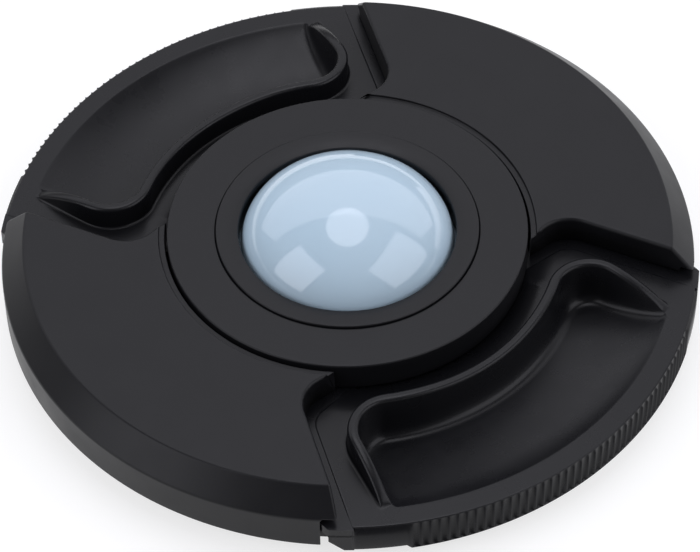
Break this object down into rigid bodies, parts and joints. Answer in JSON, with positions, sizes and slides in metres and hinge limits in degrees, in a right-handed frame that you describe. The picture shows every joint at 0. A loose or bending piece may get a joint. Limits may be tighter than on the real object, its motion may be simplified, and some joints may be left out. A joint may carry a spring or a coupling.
{
  "type": "white balance lens cap",
  "caption": "Round clip-in cap for a camera lens with two pinch levers and a blue diffuser dome in its centre, for setting white balance.",
  "frame": {"origin": "centre of the lowest plane, on the round cap's own axis", "axes": "+Z out of the front face through the dome, +X through the middle of the right pinch lever"},
  "size_m": [0.0812, 0.08, 0.0159],
  "materials": {
    "satin_black": "moulded black ABS, fine satin grain",
    "lever_black": "moulded black ABS, satin, knurled at the rim",
    "blue_lens": "polished translucent light blue acrylic",
    "blue_filter": "thin tinted polycarbonate",
    "milky_plastic": "milky white diffusing acrylic",
    "black_rubber": "flat rubber washer",
    "spring_steel": "drawn wire and zinc plated screws"
  },
  "bodies": {
    "cap_body": {"front_cover": "satin_black", "centre_ring": "satin_black", "back_plate": "satin_black", "diffuser_dome": "blue_lens", "dome_washer": "black_rubber", "colour_filter": "blue_filter", "rear_diffuser": "milky_plastic", "rear_retaining_ring": "satin_black", "screw_right_upper": "spring_steel", "screw_right_lower": "spring_steel", "screw_left_upper": "spring_steel", "screw_left_lower": "spring_steel", "spring_right_upper": "spring_steel", "spring_right_lower": "spring_steel", "spring_left_upper": "spring_steel", "spring_left_lower": "spring_steel"},
    "right_lever": {"pinch_lever_right": "lever_black"},
    "left_lever": {"pinch_lever_left": "lever_black"},
    "collar": {"dome_collar": "satin_black"}
  },
  "joints": [
    {"name": "pinch_right", "type": "slide", "parent": "cap_body", "child": "right_lever", "axis": [-1, 0, 0], "range_m": [0, 0.0025], "stiffness_N_per_m": 500, "springref_m": -0.004, "deforming": ["spring_right_upper", "spring_right_lower"]},
    {"name": "pinch_left", "type": "slide", "parent": "cap_body", "child": "left_lever", "axis": [1, 0, 0], "range_m": [0, 0.0025], "stiffness_N_per_m": 500, "springref_m": -0.004, "deforming": ["spring_left_upper", "spring_left_lower"]},
    {"name": "collar_twist", "type": "hinge", "parent": "cap_body", "child": "collar", "pos_m": [0, 0, 0.0095], "axis": [0, 0, 1], "range_deg": [0, 30]}
  ]
}
